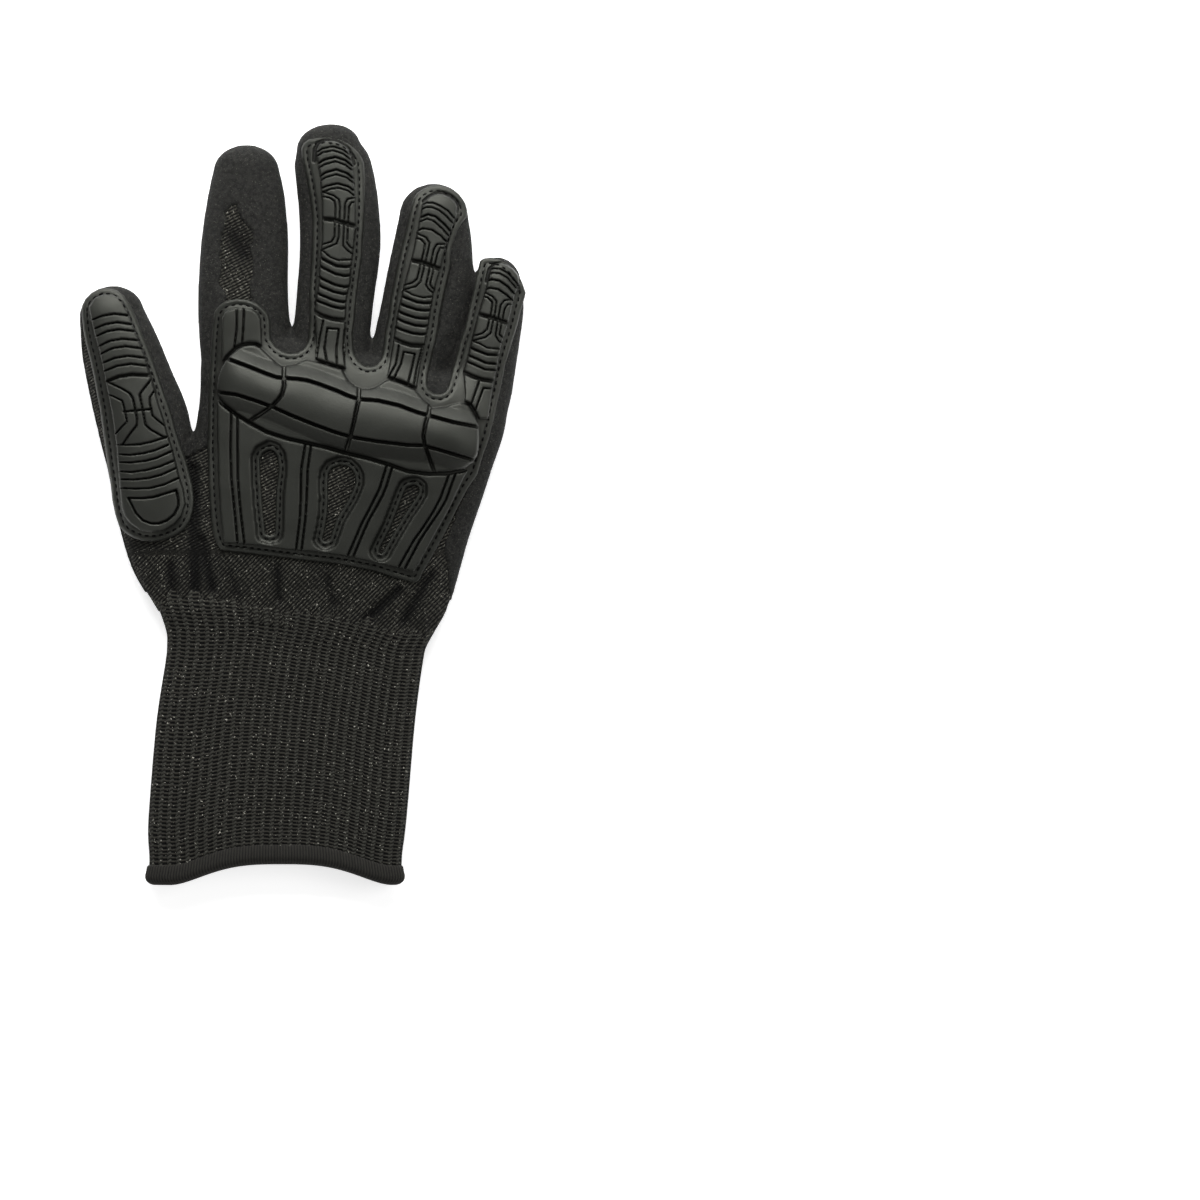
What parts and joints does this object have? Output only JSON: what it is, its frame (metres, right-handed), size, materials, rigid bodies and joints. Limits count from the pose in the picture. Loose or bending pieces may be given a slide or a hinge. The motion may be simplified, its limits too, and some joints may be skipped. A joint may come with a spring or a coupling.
{
  "type": "knitted work glove with moulded rubber guards",
  "caption": "Right-hand knitted work glove lying palm down, with a dipped palm, a ribbed cuff and moulded rubber guards over the knuckles, fingers and thumb.",
  "frame": {"origin": "on the table, under the middle of the glove's bounding box", "axes": "+Y to the finger tips, +Z out of the back of the hand, +X to the little finger"},
  "size_m": [0.1602, 0.2744, 0.0302],
  "materials": {
    "knit": "matt knit",
    "coating": "sandy matt",
    "rib": "ribbed knit",
    "hem": "overlocked edge",
    "guard": "satin moulded rubber"
  },
  "bodies": {
    "root": {"hand_liner": "knit", "thumb_stall": "knit", "index_stall": "knit", "middle_stall": "knit", "ring_stall": "knit", "little_stall": "knit", "palm_coating": "coating", "cuff_rib": "rib", "cuff_hem": "hem", "back_guard": "guard", "thumb_guard": "guard"}
  },
  "joints": []
}
